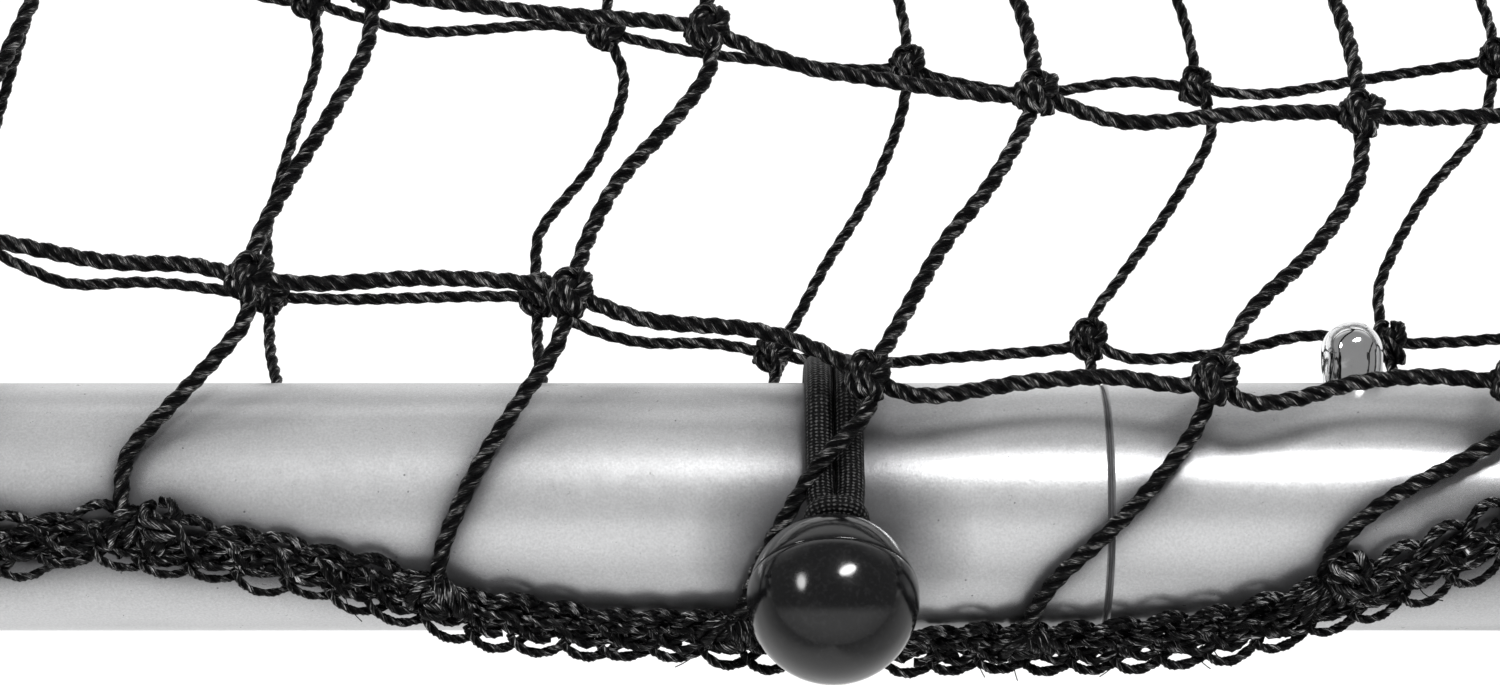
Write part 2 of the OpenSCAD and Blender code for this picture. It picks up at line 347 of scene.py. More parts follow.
class Effect(Nodes):
    """A node group for an effect that more than one finish uses."""

    def __init__(self, name, **inputs):
        super().__init__(bpy.data.node_groups.new(name, "ShaderNodeTree"))
        for key, value in inputs.items():
            kind = "NodeSocketVector" if value is None else "NodeSocketFloat"
            socket = self.tree.interface.new_socket(
                key.replace("_", " "), in_out="INPUT", socket_type=kind
            )
            if value is not None:
                socket.default_value = value
        self.given = self.tree.nodes.new("NodeGroupInput").outputs

    def put_out(self, **outputs):
        for key in outputs:
            self.tree.interface.new_socket(key, in_out="OUTPUT", socket_type="NodeSocketFloat")
        end = self.tree.nodes.new("NodeGroupOutput")
        for key, value in outputs.items():
            self.give(value, end.inputs[key])
        return self.tree


class Finish(Nodes):
    """A material: its shader, and the places that its patterns read."""

    def __init__(self, name):
        self.material = bpy.data.materials.new(name)
        self.material.use_nodes = True
        super().__init__(self.material.node_tree)
        self.shader = self.tree.nodes["Principled BSDF"]
        places = self.add("TexCoord").outputs
        self.at, self.uv = places["Object"], places["UV"]

    def effect(self, tree, **values):
        return self.add("Group", node_tree=tree, **values).outputs

    def bump(self, height, strength, distance):
        """Relief of a height from 0 to 1 over the distance."""
        node = self.add("Bump", Height=height, Strength=strength, Distance=distance * MM)
        self.give(node.outputs["Normal"], self.shader.inputs["Normal"])

    def set(self, **values):
        """Give values to the shader's sockets."""
        for key, value in values.items():
            self.give(value, self.shader.inputs[key.replace("_", " ")])


def handling_effect():
    """Marks of use: Rub is high where a surface is scuffed, Dust where dust lies."""
    e = Effect("handling", Vector=None, Rub_Scale=260.0, Dust_Scale=90.0)
    rub = e.noise(e.given["Vector"], e.given["Rub Scale"], 5, 0.7)
    dust = e.noise(e.given["Vector"], e.given["Dust Scale"], 4, 0.6)
    return e.put_out(Rub=rub, Dust=dust)


def edge_wear_effect():
    """Wear along edges: Worn is 1 where a finish is rubbed off an edge."""
    e = Effect("edge_wear", Vector=None, Width=0.0006, Patch_Scale=500.0, Amount=6.0)
    rounded = e.add("Bevel", samples=6, Radius=e.given["Width"])
    facing = e.add("VectorMath", operation="DOT_PRODUCT")
    e.give(rounded.outputs["Normal"], facing.inputs[0])
    e.give(e.add("NewGeometry").outputs["Normal"], facing.inputs[1])
    edge = e.math("MULTIPLY", e.math("SUBTRACT", 1.0, facing.outputs["Value"]), e.given["Amount"])
    patch = e.noise(e.given["Vector"], e.given["Patch Scale"], 4, 0.7)
    worn = e.math("MULTIPLY", e.math("SUBTRACT", e.math("ADD", edge, patch), 0.9), 5.0)
    return e.put_out(Worn=e.math("MINIMUM", e.math("MAXIMUM", worn, 0.0), 1.0))


def filaments_effect():
    """Twisted filaments: Strand varies from one to the next, Crest is 0 between plies."""
    e = Effect("filaments", UV=None, Along=0.5, Around=26.0, Twist=-0.1, Plies=3.0)
    apart = e.add("SeparateXYZ", Vector=e.given["UV"])
    u, v = apart.outputs["X"], apart.outputs["Y"]
    slanted = e.math("ADD", u, e.math("MULTIPLY", v, e.given["Twist"]))
    laid = e.add(
        "CombineXYZ",
        X=e.math("MULTIPLY", slanted, e.given["Around"]),
        Y=e.math("MULTIPLY", v, e.given["Along"]),
    )
    strand = e.noise(laid.outputs["Vector"], 1.0, 2.0, 0.6)
    turn = e.math("MULTIPLY", e.math("MULTIPLY", u, math.pi), e.given["Plies"])
    return e.put_out(Strand=strand, Crest=e.math("ABSOLUTE", e.math("COSINE", turn)))


HANDLING = handling_effect()
EDGE_WEAR = edge_wear_effect()
FILAMENTS = filaments_effect()


def powder_coat(name, colour):
    """Silver powder coat: orange peel, flakes, rare specks, rubbed edges, and painted shade where
    other parts come close.
    """
    f = Finish(name)
    marks = f.effect(HANDLING, Vector=f.at, Rub_Scale=420.0, Dust_Scale=60.0)
    worn = f.effect(EDGE_WEAR, Vector=f.at)["Worn"]
    flakes = f.noise(f.at, 2600.0, 1.0)
    specks = f.add("TexVoronoi", Vector=f.at, Scale=620.0)
    speck = f.math(
        "MULTIPLY",
        f.math("LESS_THAN", specks.outputs["Distance"], 0.1),
        f.math("GREATER_THAN", f.noise(f.at, 480.0, 0.0), 0.7),
    )
    grain = f.math(
        "ADD", f.math("MULTIPLY", flakes, 0.7), f.math("MULTIPLY", marks["Dust"], 0.3)
    )
    base = f.ramp(
        grain,
        (0.32, tuple(c * 0.88 for c in colour)),
        (0.68, tuple(min(1, c * 1.09) for c in colour)),
    )
    base = f.mix(speck, base, (0.2, 0.2, 0.21, 1))
    # Painted shade: the colour goes towards near black where other parts lie close, as if in their
    # shadow.
    painted_shade_occlusion = f.add("AmbientOcclusion", samples=6, Distance=0.018).outputs["AO"]
    base = f.mix(f.ramp(painted_shade_occlusion, (0.72, 0.86), (0.985, 0.0)), base, (0.07, 0.07, 0.075, 1))
    f.set(
        Base_Color=f.mix(worn, base, (0.44, 0.44, 0.45, 1)),
        Metallic=f.ramp(worn, (0.0, 0.54), (1.0, 0.9)),
        Roughness=f.ramp(marks["Rub"], (0.3, 0.27), (0.75, 0.35)),
        Coat_Weight=0.1,
        Coat_Roughness=0.16,
    )
    peel = f.noise(f.at, 900.0)
    f.bump(f.math("ADD", peel, f.math("MULTIPLY", flakes, 0.6)), 0.22, 0.05)
    return f.material


def plated(name, colour, roughness, dent=0.0):
    """Plated steel: a faint unevenness, dents of the press, and darker where an edge is worn."""
    f = Finish(name)
    marks = f.effect(HANDLING, Vector=f.at, Rub_Scale=300.0, Dust_Scale=140.0)
    worn = f.effect(EDGE_WEAR, Vector=f.at, Amount=3.0)["Worn"]
    base = f.ramp(marks["Dust"], (0.3, tuple(c * 0.9 for c in colour)), (0.7, colour))
    f.set(
        Base_Color=f.mix(worn, base, (0.36, 0.35, 0.34, 1)),
        Metallic=1.0,
        Roughness=f.ramp(marks["Rub"], (0.3, roughness), (0.75, roughness * 1.6 + 0.01)),
    )
    pressed = f.noise(f.at, 210.0, 0.0)
    height = f.math("ADD", f.math("MULTIPLY", marks["Dust"], 0.05), f.math("MULTIPLY", pressed, dent))
    f.bump(height, 1.0, 1.0)
    return f.material


def rubber(name):
    """Moulded rubber: fine grain, dust, and edges rubbed grey."""
    f = Finish(name)
    marks = f.effect(HANDLING, Vector=f.at, Rub_Scale=1500.0, Dust_Scale=90.0)
    worn = f.effect(EDGE_WEAR, Vector=f.at, Patch_Scale=260.0, Amount=4.0)["Worn"]
    base = f.ramp(marks["Dust"], (0.4, (0.016, 0.016, 0.017)), (0.7, (0.036, 0.035, 0.034)))
    f.set(
        Base_Color=f.mix(worn, base, (0.075, 0.074, 0.072, 1)),
        Roughness=f.ramp(marks["Rub"], (0.3, 0.62), (0.7, 0.78)),
    )
    f.bump(marks["Rub"], 0.3, 0.08)
    return f.material


def gloss_ball(name):
    """Moulded gloss plastic, with fine rub marks."""
    f = Finish(name)
    marks = f.effect(HANDLING, Vector=f.at, Rub_Scale=300.0, Dust_Scale=1400.0)
    f.set(
        Base_Color=f.ramp(
            marks["Dust"], (0.5, (0.003, 0.003, 0.0035)), (0.8, (0.016, 0.016, 0.017))
        ),
        Roughness=f.ramp(marks["Rub"], (0.4, 0.11), (0.8, 0.24)),
    )
    f.bump(f.noise(f.at, 110.0), 0.03, 0.3)
    return f.material


def spun(name, colour, painted_glint, roughness, dark, **lay):
    """Black polyester filaments, with painted shade between the plies and painted glints, bright
    threads that stand for mirrored lamps, on them.
    """
    f = Finish(name)
    threads = f.effect(FILAMENTS, UV=f.uv, **lay)
    patch = f.noise(f.at, 500.0)
    tint = f.math(
        "ADD", f.math("MULTIPLY", threads["Strand"], 0.7), f.math("MULTIPLY", patch, 0.3)
    )
    # Painted shade: darker in the grooves between the plies.
    tint = f.math("SUBTRACT", tint, f.ramp(threads["Crest"], (0.2, 0.2), (0.7, 0.0)))
    # The lightest colour is a painted glint: bright threads where the black filaments would mirror
    # the lamps.
    f.set(
        Base_Color=f.ramp(
            tint,
            (dark, colour),
            (dark + 0.08, tuple(c * 0.08 for c in painted_glint)),
            (dark + 0.15, painted_glint),
        ),
        Roughness=f.ramp(threads["Strand"], (0.35, roughness), (0.65, roughness * 0.6)),
        Specular_IOR_Level=0.08,
    )
    height = f.math("ADD", threads["Strand"], f.math("MULTIPLY", threads["Crest"], 0.8))
    f.bump(height, 0.9, 0.3)
    return f.material


def braided(name, colour, painted_glint):
    """Elastic cord under a fine braid: small bumps in crossing rows, with painted highlights on their
    tops.
    """
    f = Finish(name)
    apart = f.add("SeparateXYZ", Vector=f.uv)
    rows = []
    for lean in (1, -1):
        turn = f.math(
            "ADD",
            f.math("MULTIPLY", apart.outputs["X"], 50.0),
            f.math("MULTIPLY", apart.outputs["Y"], 5.0 * lean),
        )
        rows.append(f.math("SINE", turn))
    braid = f.math("MULTIPLY", rows[0], rows[1])
    fuzz = f.noise(f.at, 2600.0)
    height = f.math("ADD", f.math("MULTIPLY", braid, 0.34), f.math("MULTIPLY", fuzz, 0.9))
    # Painted highlight: the highest bumps take the painted glint colour.
    f.set(
        Base_Color=f.ramp(height, (0.3, colour), (0.52, colour), (0.78, painted_glint)),
        Roughness=0.5,
        Specular_IOR_Level=0.1,
    )
    f.bump(height, 0.7, 0.3)
    return f.material


def gap_painted_shade(name):
    """Painted shade for a narrow gap: near black, a little lighter at random."""
    f = Finish(name)
    marks = f.effect(HANDLING, Vector=f.at)
    f.set(
        Base_Color=f.ramp(marks["Rub"], (0.35, (0.04, 0.04, 0.042)), (0.7, (0.10, 0.10, 0.105))),
        Roughness=0.7,
    )
    return f.material


coat = powder_coat("powder_coat", (0.65, 0.653, 0.66))
# A near black ring in each seam stands for the shade in its gap.
seam_painted_shade = gap_painted_shade("seam_painted_shade")
chrome = plated("chrome", (0.97, 0.975, 0.98), roughness=0.05, dent=0.6)
zinc = plated("zinc_plate", (0.60, 0.61, 0.62), roughness=0.22)
spring_steel = plated("spring_steel", (0.45, 0.46, 0.47), roughness=0.25)
foot_rubber = rubber("foot_rubber")
ball_plastic = gloss_ball("ball_plastic")
# Twine, yarn and elastic take painted glints as their lightest colour.
twine = spun(
    "twine", colour=(0.0012, 0.0012, 0.0015), painted_glint=(0.55, 0.545, 0.54), roughness=0.4, dark=0.49,
    Along=0.6, Around=54.0, Twist=0.08, Plies=3.0,
)
yarn = spun(
    "yarn", colour=(0.0006, 0.0006, 0.0008), painted_glint=(0.66, 0.66, 0.665), roughness=0.34, dark=0.48,
    Along=0.5, Around=26.0, Twist=0.06, Plies=2.0,
)
elastic = braided("elastic", colour=(0.001, 0.001, 0.0012), painted_glint=(0.09, 0.09, 0.09))

# The finish of each rigid kind of node. The net, its bands and the bungees are replaced.
FINISHES = {
    "rim_section": coat,
    "leg_bracket": coat,
    "leg_tube": coat,
    "snap_button": chrome,
    "button_spring": spring_steel,
    "leg_foot": foot_rubber,
    "pivot_bolts": zinc,
    "pivot_nuts": zinc,
}
for name, node in frame["nodes"].items():
    finish = FINISHES.get(name.rstrip("_12345"))
    if finish:
        for material_slot in node.material_slots:
            material_slot.material = finish

# ---- Net ----

# From knot to knot, the twine's radius, the length in which its plies turn once, and the
# section of three plies
MESH_BAR = 48
TWINE_R = 1.2
TWIST = 10.0
TWISTED = dict(count=12, lobes=3, groove=0.36)

# The part of the net that is finely drawn: how far to either side of the front side's
# middle, and how far back it goes. Paths there have finer steps.
NEAR_REACH = 165
NEAR_BACK = -270
FINE_STEP, PLAIN_STEP = 0.5, 5.0
KNOT_STEP, TIE_KNOT_STEP = 0.55, 0.6

# How far round a placed knot it draws others along, how firmly they hold their own
# places, and how far each strays by itself
PULL_REACH = 55
HOLD = 0.35
STRAYS = (2.2, 2.2, 0.5)

# How far a bent string sags, how far its end is off the tube and lifted by the band, and
# how far a knot's bights are out of true
SAG = 1.2
OFF_TUBE = 0.35
BAND_LIFT = 1.6
WOBBLE = 0.25

# Where the lower layer's strings meet its band: out from the rim's centre line, and up
LOWER_OUT, LOWER_UP = -TUBE_R - 1.8, -8

# Knots of the front side, by column and row of the net: x, and the distance inwards
# from the tube's centre line.
UPPER_KNOTS = {
    (-3, -9): (-122, 31), (-2, -9): (-75.5, 23.5), (-1, -9): (-27, 21),
    (0, -9): (17.5, 6.5), (1, -9): (69, 6), (2, -9): (113.5, 5.5),
    (-3, -8): (-110, 97), (-2, -8): (-59, 76.5), (-1, -8): (-6.5, 69),
    (0, -8): (44.5, 57), (1, -8): (94.5, 53), (2, -8): (143, 55),
}
LOWER_KNOTS = {
    (-3, -8): (-129, 60), (-2, -8): (-79, 49.4), (-1, -8): (-35, 49.5),
    (0, -8): (4, 38.5), (1, -8): (55.5, 41), (2, -8): (104.5, 40.5),
    (-3, -7): (-123, 128), (-2, -7): (-75.5, 108.5), (-1, -7): (-24.5, 102),
    (0, -7): (27, 95), (1, -7): (76, 90.5), (2, -7): (127.5, 96.5),
}
# Bends of a string between two of those knots, from the knot named, along its row
# or up its column: x, and the distance inwards.
UPPER_BENDS = {
    (-2, -9, "column"): ((-74.5, 31.5), (-70.5, 42), (-64.5, 55), (-60, 66)),
    (-1, -9, "column"): ((-24.5, 31.5), (-20, 42), (-12.5, 52), (-6.5, 61.5)),
    (0, -9, "column"): ((22.5, 16.5), (29.5, 30.5), (36.5, 40.5), (41.5, 49.5)),
    (1, -9, "column"): ((75, 18), (85.5, 29.5), (93, 41.5)),
    (-3, -9, "row"): ((-113.5, 30.5), (-98, 27.5), (-84.5, 26.5)),
    (-2, -9, "row"): ((-64.5, 23.3), (-49, 24.5), (-34, 23.3)),
    (-1, -9, "row"): ((-15.5, 17), (0, 15.5), (9.5, 12)),
    (0, -9, "row"): ((26, 3.8), (41.5, 6.5), (53.5, 7.2), (63.5, 5.5)),
    (1, -9, "row"): ((74, 2.6), (81.5, 3.6), (91, 6.5), (102, 7.2)),
    (-2, -8, "row"): ((-48.5, 75), (-31.5, 73), (-14, 71)),
    (-1, -8, "row"): ((8, 63), (18, 61), (35.5, 57.5)),
    (0, -8, "row"): ((58, 52.5), (75.5, 54), (88, 54)),
    (1, -8, "row"): ((104, 53), (118, 54)),
}
LOWER_BENDS = {
    (-2, -8, "column"): ((-80.5, 62.5), (-79.5, 70), (-77, 83), (-74, 97.5)),
    (-1, -8, "column"): ((-35.5, 58.5), (-34, 64.5), (-26, 77), (-21.5, 91.5)),
    (0, -8, "column"): ((7.5, 45), (12.5, 56), (20, 70), (25.5, 85)),
    (1, -8, "column"): ((57, 47), (61, 53), (71, 68.5), (78, 82)),
    (2, -8, "column"): ((103.5, 47), (105, 54.5), (113, 69.5), (123.5, 83)),
    (-3, -8, "row"): ((-119, 55), (-111.5, 52.5), (-98, 52.8)),
    (-2, -8, "row"): ((-66, 49.5), (-47, 50)),
    (-1, -8, "row"): ((-28, 44.5), (-18, 41.5), (-6, 41)),
    (0, -8, "row"): ((16.5, 37), (32, 38.5), (49, 39.5)),
    (1, -8, "row"): ((63, 38), (78, 39.5), (91.5, 42.5)),
    (2, -8, "row"): ((110, 42.5), (116, 41), (128, 43)),
    (-2, -7, "row"): ((-60, 103.5), (-51.5, 103.2), (-34.5, 104.2)),
    (-1, -7, "row"): ((-11, 99), (0, 97.5), (17, 95)),
    (0, -7, "row"): ((34, 92.5), (48, 90.5), (64.5, 92.5)),
    (1, -7, "row"): ((88, 90), (106.5, 93.5)),
}

# The x of an upper string at equal steps from its knot down to the edge band
UPPER_DROPS = {
    -2: (-76, -81, -87, -92.5, -93.5, -92),
    -1: (-29, -34, -39, -43, -46, -47),
    0: (17.2, 10.2, 4.9, 1.3, -0.8, -3.2),
    1: (66, 60.5, 53.5, 46, 42.5, 41.5),
    2: (114.5, 106.5, 96, 89, 86, 86),
}

# The x at which a lower string reaches its edge band
LOWER_DROPS = {-2: -74.5, -1: -32.5}

# The two layers: how far their mesh is shifted, their height, how far in from the rim's
# centre line their knots stay, the placed knots and bent strings, how thick the twine is,
# and how large and how tall a knot is
LAYERS = {
    "upper": dict(
        shift=(19, 18), z=UPPER_Z, inner=-4, placed=UPPER_KNOTS, bends=UPPER_BENDS,
        thick=1.05, knot=0.8, tall=1.22,
    ),
    "lower": dict(
        shift=(10, 3), z=LOWER_Z, inner=-36, placed=LOWER_KNOTS, bends=LOWER_BENDS,
        thick=0.8, knot=0.74, tall=1.4,
    ),
}


def plain_knot(layer, i, j):
    """A knot's own place in a regular mesh."""
    x, y = layer["shift"]
    return Vector((x + i * MESH_BAR, y + j * MESH_BAR, RIM_Z + layer["z"]))


def lay_knots(layer):
    """Every knot of a layer: the placed ones, and the rest drawn along by them."""
    placed = {
        knot: Vector((x, inwards - APOTHEM, RIM_Z + layer["z"]))
        for knot, (x, inwards) in layer["placed"].items()
    }
    pulls = []
    for (i, j), place in placed.items():
        start = plain_knot(layer, i, j)
        pulls.append((start, place - start))
    knots = {}
    count = math.ceil(APOTHEM / MESH_BAR) + 1
    for i in range(-count, count + 1):
        for j in range(-count, count + 1):
            p = plain_knot(layer, i, j)
            if (i, j) in placed:
                knots[i, j] = placed[i, j]
                continue
            if out_of(p) > layer["inner"]:
                continue
            total, moved = HOLD, Vector()
            for start, pull in pulls:
                weight = math.exp(-((start - p).length / PULL_REACH) ** 2)
                total += weight
                moved += weight * pull
            drift = Vector([random.gauss(0, spread) for spread in STRAYS])
            knots[i, j] = p + moved / total + drift
    return knots


def is_near(*points):
    """Whether all of the points lie where the net is finely drawn."""
    return all(p.y < NEAR_BACK and abs(p.x) < NEAR_REACH for p in points)


def step_at(*points):
    """The step of a path between the points."""
    return FINE_STEP if is_near(*points) else PLAIN_STEP


# A border knot is nearer to the rim than this, and how often the way there is halved
FARTHEST = 400
HALVINGS = 30


def meets_rim(start, way, out):
    """The angle round the rim at which a line from start along way reaches it."""
    low, high = 0.0, FARTHEST
    for _ in range(HALVINGS):
        middle = (low + high) / 2
        p = start + way * middle
        if p.xy.length < rim_reach(angle_of(p), out):
            low = middle
        else:
            high = middle
    return angle_of(start + way * high)


# How far round the tube the upper edge band lies along the front: x, and degrees above
# the tube's outer side. Past both ends it passes into a wave, within BAND_EASE.
BAND_SLANTS = [
    (-139, 38), (-110, 46), (-94, 51), (-84, 46), (-69, 41), (-54, 30), (-38, 13),
    (-23, 4), (-8, 1), (22, -12), (38, -11), (53, -8), (69, 3), (83, 21), (98, 39),
    (114, 57), (139, 50),
]
BAND_EASE = 70


def band_slant(angle):
    """How far round the tube the upper edge band lies, above the tube's outer side."""
    angle = (angle + math.pi) % (2 * math.pi) - math.pi
    wave = 20 + 15 * math.sin(11 * angle + 1) + 9 * math.sin(23 * angle)
    if abs(angle) > TURN:
        return math.radians(wave)
    x = APOTHEM * math.tan(angle)
    share = (abs(x) - BAND_SLANTS[-1][0]) / BAND_EASE
    if share >= 1:
        return math.radians(wave)
    if share > 0:
        end = BAND_SLANTS[-1 if x > 0 else 0][1]
        return math.radians(end + (wave - end) * ease(share))
    for (x0, a0), (x1, a1) in zip(BAND_SLANTS, BAND_SLANTS[1:]):
        if x0 <= x <= x1:
            return math.radians(a0 + (a1 - a0) * (x - x0) / (x1 - x0))


def over_tube(start, slant, steps):
    """Out and up of a taut twine from a knot on to the tube and round it to the band."""
    reach = TUBE_R + TWINE_R + OFF_TUBE
    first = Vector((out_of(start), start.z - RIM_Z))
    away = max(first.length, reach + 0.01)
    touch = math.atan2(first.y, first.x) - math.acos(reach / away)
    landing = reach * Vector((math.cos(touch), math.sin(touch)))
    free = (landing - first).length
    round_tube = reach * max(0.0, touch - slant)
    for k in range(1, steps + 1):
        run = (free + round_tube) * k / steps
        if run <= free:
            yield first.lerp(landing, run / free)
        else:
            a = touch - (run - free) / reach
            lift = BAND_LIFT if k == steps else 0.0
            yield (reach + lift) * Vector((math.cos(a), math.sin(a)))


# How far the front string that crosses a bungee is lifted by it, at each step
CROSSING = (3.8, 4.6, 3.4, 1.5, 0.3, 0)


def upper_end(start, angle, step, drop=None):
    """From a knot out over the tube and down to the upper edge band."""
    begin = angle_of(start)
    points = [start]
    steps = len(CROSSING)
    for k, place in enumerate(over_tube(start, band_slant(angle), steps)):
        share = (k + 1) / steps
        if drop:
            middle = math.atan2(drop[k], APOTHEM + place.x)
            if drop is UPPER_DROPS[0]:
                place *= 1 + CROSSING[k] / place.length
        else:
            middle = begin + (angle - begin) * ease(share)
        points.append(by_rim(middle, place.x, place.y))
    return smooth(points, step)


def lower_end(start, angle, step, way):
    """From a knot out to the lower edge band, inside the tube."""
    band = by_rim(angle, LOWER_OUT, LOWER_UP)
    return eased(start, band, way, (band - start).normalized(), step)


def bent_string(layer, i, j, line, p, q, way, step):
    """The string from knot p to knot q, through its bends or in an easy curve."""
    bends = layer["bends"].get((i, j, line))
    if not bends:
        return eased(p, q, way, way, step)
    points = [p]
    for x, inwards in bends:
        share = (Vector((x, inwards - APOTHEM, p.z)) - p).length / (q - p).length
        sag = SAG * math.sin(math.pi * min(1, share))
        points.append(Vector((x, inwards - APOTHEM, p.z + (q.z - p.z) * share - sag)))
    return smooth([*points, q], step)


def end_string(key, i, j, p, way):
    """The angle at which a string from the border knot p meets its band, and its path."""
    if key == "upper":
        drop = UPPER_DROPS.get(i) if (way.y, j) == (-1, -9) else None
        angle = math.atan2(drop[-1], APOTHEM + TUBE_R) if drop else meets_rim(p, way, TUBE_R)
        return angle, upper_end(p, angle, step_at(p), drop)
    if (way.y, j) == (-1, -8) and i in LOWER_DROPS:
        angle = math.atan2(LOWER_DROPS[i], APOTHEM - TUBE_R)
    else:
        angle = meets_rim(p, way, LOWER_OUT)
    return angle, lower_end(p, angle, step_at(p), way)


def lay_strings(key, layer, knots):
    """The layer's strings, near ones and the rest, and where they meet its band."""
    near, far, tied = [], [], []
    for (i, j), p in knots.items():
        for line, a, b in (("row", 1, 0), ("column", 0, 1)):
            q = knots.get((i + a, j + b))
            if q:
                path = bent_string(layer, i, j, line, p, q, Vector((a, b, 0)), step_at(p, q))
                (near if is_near(p, q) else far).append(path)
        for a, b in ((1, 0), (-1, 0), (0, 1), (0, -1)):
            if (i + a, j + b) not in knots:
                angle, path = end_string(key, i, j, p, Vector((a, b, 0)))
                (near if is_near(p) else far).append(path)
                tied.append((angle, path[-1], is_near(p)))
    return near, far, tied


# The bights of twine that a knot shows, from above: two side by side on the string that
# comes from inwards, one below them, one across, and one underneath.
KNOT_BIGHTS = (
    ((0.7, 3.5, 0.0), (2.1, 2.7, 1.0), (2.5, 0.6, 1.5), (1.3, -1.2, 1.0), (0.6, -1.8, 0.0)),
    ((-0.5, 3.5, 0.2), (-2.1, 2.7, 1.2), (-2.4, 0.8, 1.7), (-0.9, -0.7, 1.5), (0.2, -1.2, 0.4)),
    ((-3.0, 0.4, 0.0), (-2.6, -1.8, 1.0), (-0.6, -3.0, 1.2), (1.6, -2.7, 0.7), (2.4, -1.3, -0.3)),
    ((-3.3, 1.0, 0.4), (-2.6, 0.0, 1.6), (-0.3, -1.3, 2.5), (1.7, -2.5, 1.8), (2.5, -3.3, 0.2)),
    ((3.1, 0.8, -0.5), (1.0, 1.4, -1.7), (-1.5, 0.6, -1.8), (-2.6, -1.0, -1.5), (-3.0, -1.8, -0.3)),
)


def knot_bights(centre, turn, size, tall, step):
    """The crossing bights of a tight knot."""
    c, s = size * math.cos(turn), size * math.sin(turn)
    paths = []
    for bight in KNOT_BIGHTS:
        points = []
        for x, y, up in bight:
            place = Vector((c * x - s * y * tall, s * x + c * y * tall, size * up))
            wobble = Vector([random.uniform(-WOBBLE, WOBBLE) for _ in range(3)])
            points.append(centre + place + wobble)
        paths.append(smooth(points, step))
    return paths


def blunt(share):
    """A lump's ends are narrower than the rest."""
    return 0.45 if share in (0, 1) else 1.0


def net_layer(key, layer):
    """A net layer's four pieces: strings and knots, finely drawn at the front, and the rest."""
    thick = layer["thick"]
    twine_section = lobed("twine_section", TWINE_R * 1.06 * thick, **TWISTED)
    plain_section = lobed("plain_section", TWINE_R * 0.96 * thick, 6)
    knot_section = lobed("knot_section", TWINE_R * 1.04 * thick, **TWISTED)
    lump_section = lobed("lump_section", 3.1, 6)
    core_section = lobed("core_section", 2.2, 8)
    knots = lay_knots(layer)
    near, far, layer["tied"] = lay_strings(key, layer, knots)
    near_knots, far_knots, cores = [], [], []
    for p in knots.values():
        if is_near(p):
            turn = random.uniform(-0.5, 0.1)
            near_knots += knot_bights(p, turn, layer["knot"], layer["tall"], KNOT_STEP)
            cores.append([p + Vector((0, reach, -0.3)) for reach in (-2.8, -1.6, 1.6, 2.8)])
        else:
            lean = Vector((random.uniform(-1, 1), random.uniform(-1, 1), 0)).normalized()
            far_knots.append([p + lean * reach for reach in (-3.4, -2, 2, 3.4)])
    piece_from(drawn(near, twine_section, TWIST), f"net_{key}_front", twine)
    plain = piece_from(drawn(far, plain_section), f"net_{key}_twine", twine)
    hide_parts(f"net_{key}")
    tight = joined(
        drawn(near_knots, knot_section, TWIST), drawn(cores, core_section, taper=blunt)
    )
    piece_from(tight, f"net_{key}_front_knots", twine)
    lumps = drawn(far_knots, lump_section, taper=blunt)
    piece_from(lumps, f"net_{key}_knots", twine)


for key, layer in LAYERS.items():
    net_layer(key, layer)

# ---- Edge bands ----

# The stitches of a whole band, and those that are finely drawn on each side of the
# front side's middle
STITCHES = 408
STITCH = 2 * math.pi / STITCHES
NEAR_STITCHES = 20

# How far from the rim's centre line a band's back lies, and its middle
BACK_R = TUBE_R + 1.6
BAND_R = TUBE_R + 2.2

# How far round the tube the lower band lies, below the tube's inner side, how much wider
# the upper one is, and the least angle from straight down at which its lower half hangs
LOWER_SLANT = math.radians(24)
UPPER_WIDER = 1.08
HANG = math.radians(46)

# The rim's reach at the bands, by which a length along a band becomes an angle
ALONG = APOTHEM + TUBE_R


def band_place(key, angle, across, proud):
    """A place on an edge band: across it, upwards, and proud of the tube."""
    reach = BACK_R + proud
    if key == "lower":
        slant = math.pi + LOWER_SLANT - across / BAND_R
        return by_rim(angle, reach * math.cos(slant), reach * math.sin(slant))
    slant = band_slant(angle)
    across *= UPPER_WIDER
    if across >= 0:
        slant += across / BAND_R
        return by_rim(angle, reach * math.cos(slant), reach * math.sin(slant))
    hang = max(slant, HANG)
    return by_rim(
        angle,
        reach * math.cos(slant) - across * math.sin(hang),
        reach * math.sin(slant) + across * math.cos(hang),
    )


def edge_link(key, k, level, dip, proud, wide, count=14):
    """One long flat link of the chain along a band's edge.

    Its ends lie at level across the band, it dips from there, and it is wide in stitches.
    """
    path = []
    for n in range(count + 1):
        share = n / count
        s = k + 0.5 + (share - 0.5) * wide
        across = level + dip * math.sin(math.pi * share) ** 0.65
        lift = proud + 0.7 * math.cos(math.pi * share)
        path.append(band_place(key, s * STITCH, across, lift))
    return path


# Past this stitch the links of the upper edge stand up higher
LOOSE_FROM = 3


def stitch_links(key, k, rng):
    """The links at a stitch: two that overlap on the lower edge, and two on the upper."""
    low = rng.uniform(1.8, 3.2)
    drift = rng.uniform(-0.12, 0.12)
    high = rng.uniform(2.4, 3.4) if k > LOOSE_FROM else rng.uniform(1.5, 2.7)
    return [
        edge_link(key, k + drift, -1.9, -low, 0.5, 1.34),
        edge_link(key, k + drift + 0.02, -1.8, 0.2 - low, 1.2, 1.3),
        edge_link(key, k + 0.4, 1.9, high, 0.4, 1.25),
        edge_link(key, k + 0.42, 1.8, high - 0.3, 1.1, 1.2),
    ]


